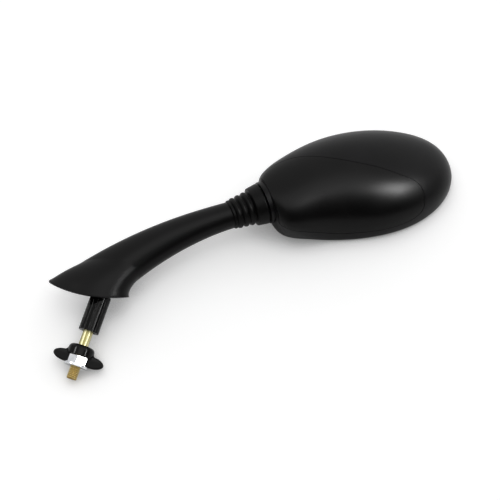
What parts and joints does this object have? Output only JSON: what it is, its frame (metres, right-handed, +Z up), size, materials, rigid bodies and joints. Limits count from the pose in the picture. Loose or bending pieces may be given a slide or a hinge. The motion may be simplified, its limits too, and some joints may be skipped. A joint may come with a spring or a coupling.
{
  "type": "motorcycle mirror",
  "caption": "Left-hand fairing mirror: egg-shaped housing with a flush front cover, on a ball joint under a rubber bellows and a curved stem with a flared foot, stud, wing knob and nut.",
  "frame": {"origin": "where the mounting stud's axis meets the foot's seat", "axes": "+Z up the stud's axis towards the stem, +X outboard towards the mirror head, +Y rearward, the way the glass faces"},
  "size_m": [0.2732, 0.0574, 0.2743],
  "materials": {
    "stem_plastic": "fine satin grain",
    "sleeve_plastic": "glossy moulded",
    "yellow_zinc": "yellow passivated zinc",
    "knob_plastic": "semi-gloss moulded",
    "bright_zinc": "bright zinc",
    "steel": "plain",
    "liner_plastic": "natural acetal",
    "cast_alloy": "as cast",
    "bellows_rubber": "matt",
    "housing_plastic": "fine satin grain",
    "cover_plastic": "satin",
    "mirror_glass": "silvered on its back",
    "foam_tape": "closed-cell foam",
    "plate_plastic": "plain"
  },
  "bodies": {
    "stem": {"stem": "stem_plastic", "ball_stud": "steel", "mount_stud": "yellow_zinc", "splined_sleeve": "sleeve_plastic"},
    "wing_nut": {"wing_knob": "knob_plastic", "flange_nut": "bright_zinc"},
    "boot": {"bellows": "bellows_rubber"},
    "liner": {"ball_liner": "liner_plastic"},
    "head": {"housing_shell": "housing_plastic", "front_cover": "cover_plastic", "mirror_glass": "mirror_glass", "adhesive_pad": "foam_tape", "backing_plate": "plate_plastic", "plate_screws": "steel", "ball_socket": "cast_alloy", "pressure_cup": "liner_plastic", "disc_springs": "steel", "socket_cap": "cast_alloy", "socket_screws": "steel", "cover_screws": "steel"}
  },
  "joints": [
    {"name": "head_twist", "type": "hinge", "parent": "stem", "child": "boot", "pos_m": [0.0869, 0.00042, 0.10326], "axis": [0.7699, 0.021, 0.6378], "range_deg": [-20, 20], "deforming": ["bellows"]},
    {"name": "head_pan", "type": "hinge", "parent": "boot", "child": "liner", "pos_m": [0.0869, 0.00042, 0.10326], "axis": [-0.6192, 0.2664, 0.7387], "range_deg": [-14, 14], "deforming": ["bellows"]},
    {"name": "head_swing", "type": "hinge", "parent": "liner", "child": "head", "pos_m": [0.0869, 0.00042, 0.10326], "axis": [-0.1544, -0.9636, 0.2181], "range_deg": [-14, 14], "deforming": ["bellows"]},
    {"name": "wing_nut_turn", "type": "hinge", "parent": "stem", "child": "wing_nut", "pos_m": [0, 0, -0.05], "axis": [0, 0, 1], "continuous": true}
  ]
}
